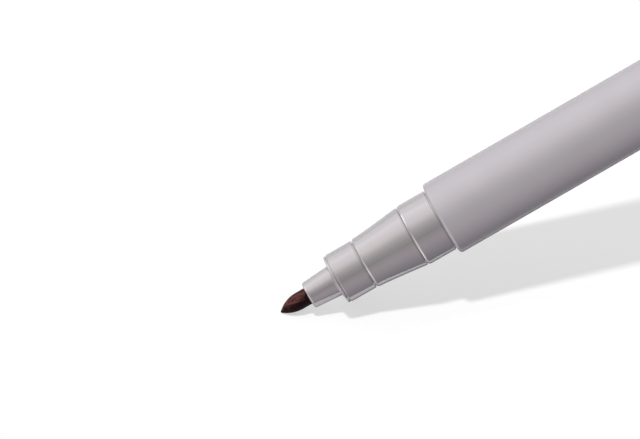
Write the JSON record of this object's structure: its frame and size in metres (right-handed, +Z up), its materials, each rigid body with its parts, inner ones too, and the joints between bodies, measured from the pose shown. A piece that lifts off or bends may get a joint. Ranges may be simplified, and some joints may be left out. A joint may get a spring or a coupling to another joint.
{
  "type": "non-permanent marker",
  "caption": "Straight round fibre-tip marker with a stepped light grey nose and barrel, a bullet nib, and a black clipped cap pushed on its closed rear end.",
  "frame": {"origin": "centre of the marker's bounding box, on its underside", "axes": "+X runs along the pen from the writing tip to the closed end of the cap, +Z points up through the clip"},
  "size_m": [0.1542, 0.01, 0.012],
  "materials": {
    "barrel_plastic": "light grey, satin moulded polypropylene",
    "nose_plastic": "light grey, polished moulded plastic",
    "nib_fibre": "ink-soaked bonded fibre",
    "reservoir_fibre": "ink-soaked loose fibre",
    "film": "thin smooth wrapping film",
    "black_plastic": "black, semi-gloss moulded plastic",
    "natural_plastic": "uncoloured moulded polyethylene"
  },
  "bodies": {
    "pen_body": {"barrel": "barrel_plastic", "nose": "nose_plastic", "nib": "nib_fibre", "reservoir_core": "reservoir_fibre", "reservoir_film": "film", "end_plug": "black_plastic"},
    "cap": {"cap": "black_plastic", "inner_cap": "natural_plastic"}
  },
  "joints": [
    {"name": "cap_pull", "type": "slide", "parent": "pen_body", "child": "cap", "axis": [1, 0, 0], "range_m": [0, 0.025]}
  ]
}
